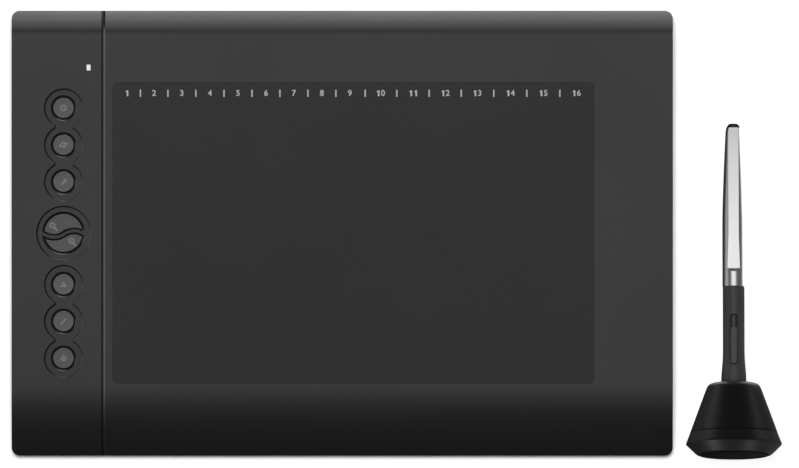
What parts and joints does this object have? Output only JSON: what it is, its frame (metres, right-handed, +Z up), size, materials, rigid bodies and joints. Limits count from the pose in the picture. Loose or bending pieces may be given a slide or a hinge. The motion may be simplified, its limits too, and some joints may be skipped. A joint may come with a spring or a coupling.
{
  "type": "graphics tablet",
  "caption": "Flat pen tablet with a key strip, lying beside its battery-free pen in a weighted conical stand.",
  "frame": {"origin": "on the desk, in the middle of the footprint of the tablet with the stand and pen beside it", "axes": "+X along the tablet from the key strip towards the stand, +Y away from the user, +Z up"},
  "size_m": [0.411, 0.2398, 0.0508],
  "materials": {
    "casing": "fine matt texture, dark grey",
    "casing_under": "fine spark texture, near black",
    "film": "matt film with a paper-like tooth",
    "key_cap": "smooth satin grey",
    "rubber": "soft matt",
    "screw_steel": "blackened, cross recess",
    "board": "green solder mask",
    "shield_metal": "thin rolled sheet",
    "switch_metal": "stamped",
    "switch_plunger": "moulded",
    "port_tongue": "moulded with gilt contacts",
    "flat_cable": "white film",
    "lamp": "milky lens",
    "clear_window": "frosted light pipe",
    "pen_black": "soft-touch black",
    "pen_silver": "silver paint, satin",
    "nib_plastic": "hard black polymer",
    "ferrite": "sintered",
    "copper": "enamelled copper wire",
    "sensor_case": "moulded",
    "stand_black": "satin black",
    "stand_inner": "moulded",
    "weight_steel": "pressed plate"
  },
  "bodies": {
    "tablet": {"top_cover": "casing", "bottom_cover": "casing_under", "case_screws": "screw_steel", "drawing_film": "film", "sensor_board": "board", "shield_plate": "shield_metal", "key_board": "board", "key_switches": "switch_metal", "control_board": "board", "usb_socket": "switch_metal", "usb_tongue": "port_tongue", "status_led": "lamp", "led_window": "clear_window", "key_cable": "flat_cable", "sensor_cable": "flat_cable", "foot_far_left": "rubber", "foot_near_left": "rubber", "foot_far_right": "rubber", "foot_near_right": "rubber"},
    "key_1": {"key_1": "key_cap", "key_1_plunger": "switch_plunger"},
    "key_2": {"key_2": "key_cap", "key_2_plunger": "switch_plunger"},
    "key_3": {"key_3": "key_cap", "key_3_plunger": "switch_plunger"},
    "key_4": {"key_4": "key_cap", "key_4_plunger": "switch_plunger"},
    "key_5": {"key_5": "key_cap", "key_5_plunger": "switch_plunger"},
    "key_6": {"key_6": "key_cap", "key_6_plunger": "switch_plunger"},
    "upper_half_key": {"upper_half_key": "key_cap", "upper_half_plunger": "switch_plunger"},
    "lower_half_key": {"lower_half_key": "key_cap", "lower_half_plunger": "switch_plunger"},
    "stand": {"stand_cone": "stand_black"},
    "stand_bottom": {"stand_base": "stand_black", "stand_foot_pad": "rubber", "stand_weight": "weight_steel", "nib_tray": "stand_inner", "spare_nibs": "nib_plastic"},
    "pen": {"pen_grip": "pen_black", "pen_rear_barrel": "pen_silver", "pen_tail_cap": "pen_black", "pen_board": "board", "pen_switches": "switch_metal", "pen_ferrite_core": "ferrite", "pen_coil": "copper", "pen_pressure_sensor": "sensor_case"},
    "pen_nib": {"pen_nib": "nib_plastic"},
    "pen_rocker": {"pen_rocker": "pen_black"}
  },
  "joints": [
    {"name": "key_1_press", "type": "slide", "parent": "tablet", "child": "key_1", "axis": [0, 0, -1], "range_m": [0, 0.00045], "stiffness_N_per_m": 60, "springref_m": -0.003},
    {"name": "key_2_press", "type": "slide", "parent": "tablet", "child": "key_2", "axis": [0, 0, -1], "range_m": [0, 0.00045], "stiffness_N_per_m": 60, "springref_m": -0.003},
    {"name": "key_3_press", "type": "slide", "parent": "tablet", "child": "key_3", "axis": [0, 0, -1], "range_m": [0, 0.00045], "stiffness_N_per_m": 60, "springref_m": -0.003},
    {"name": "key_4_press", "type": "slide", "parent": "tablet", "child": "key_4", "axis": [0, 0, -1], "range_m": [0, 0.00045], "stiffness_N_per_m": 60, "springref_m": -0.003},
    {"name": "key_5_press", "type": "slide", "parent": "tablet", "child": "key_5", "axis": [0, 0, -1], "range_m": [0, 0.00045], "stiffness_N_per_m": 60, "springref_m": -0.003},
    {"name": "key_6_press", "type": "slide", "parent": "tablet", "child": "key_6", "axis": [0, 0, -1], "range_m": [0, 0.00045], "stiffness_N_per_m": 60, "springref_m": -0.003},
    {"name": "upper_half_key_press", "type": "slide", "parent": "tablet", "child": "upper_half_key", "axis": [0, 0, -1], "range_m": [0, 0.00045], "stiffness_N_per_m": 60, "springref_m": -0.003},
    {"name": "lower_half_key_press", "type": "slide", "parent": "tablet", "child": "lower_half_key", "axis": [0, 0, -1], "range_m": [0, 0.00045], "stiffness_N_per_m": 60, "springref_m": -0.003},
    {"name": "stand_tip_up", "type": "hinge", "parent": "tablet", "child": "stand", "pos_m": [0.17993, -0.09454, 0.02322], "axis": [1, 0, 0], "range_deg": [0, 97.29]},
    {"name": "stand_base_pull", "type": "slide", "parent": "stand", "child": "stand_bottom", "axis": [0, -0.9919, 0.1269], "range_m": [0, 0.022]},
    {"name": "pen_draw", "type": "slide", "parent": "stand", "child": "pen", "axis": [0, 0.9919, -0.1269], "range_m": [0, 0.034]},
    {"name": "pen_nib_press", "type": "slide", "parent": "pen", "child": "pen_nib", "axis": [0, 0.9919, -0.1269], "range_m": [0, 0.0005], "stiffness_N_per_m": 8, "springref_m": -0.001},
    {"name": "pen_rocker_tip", "type": "hinge", "parent": "pen", "child": "pen_rocker", "pos_m": [0.17993, -0.05549, 0.02286], "axis": [1, 0, 0], "range_deg": [-2, 2], "stiffness_Nm_per_rad": 0.002}
  ]
}
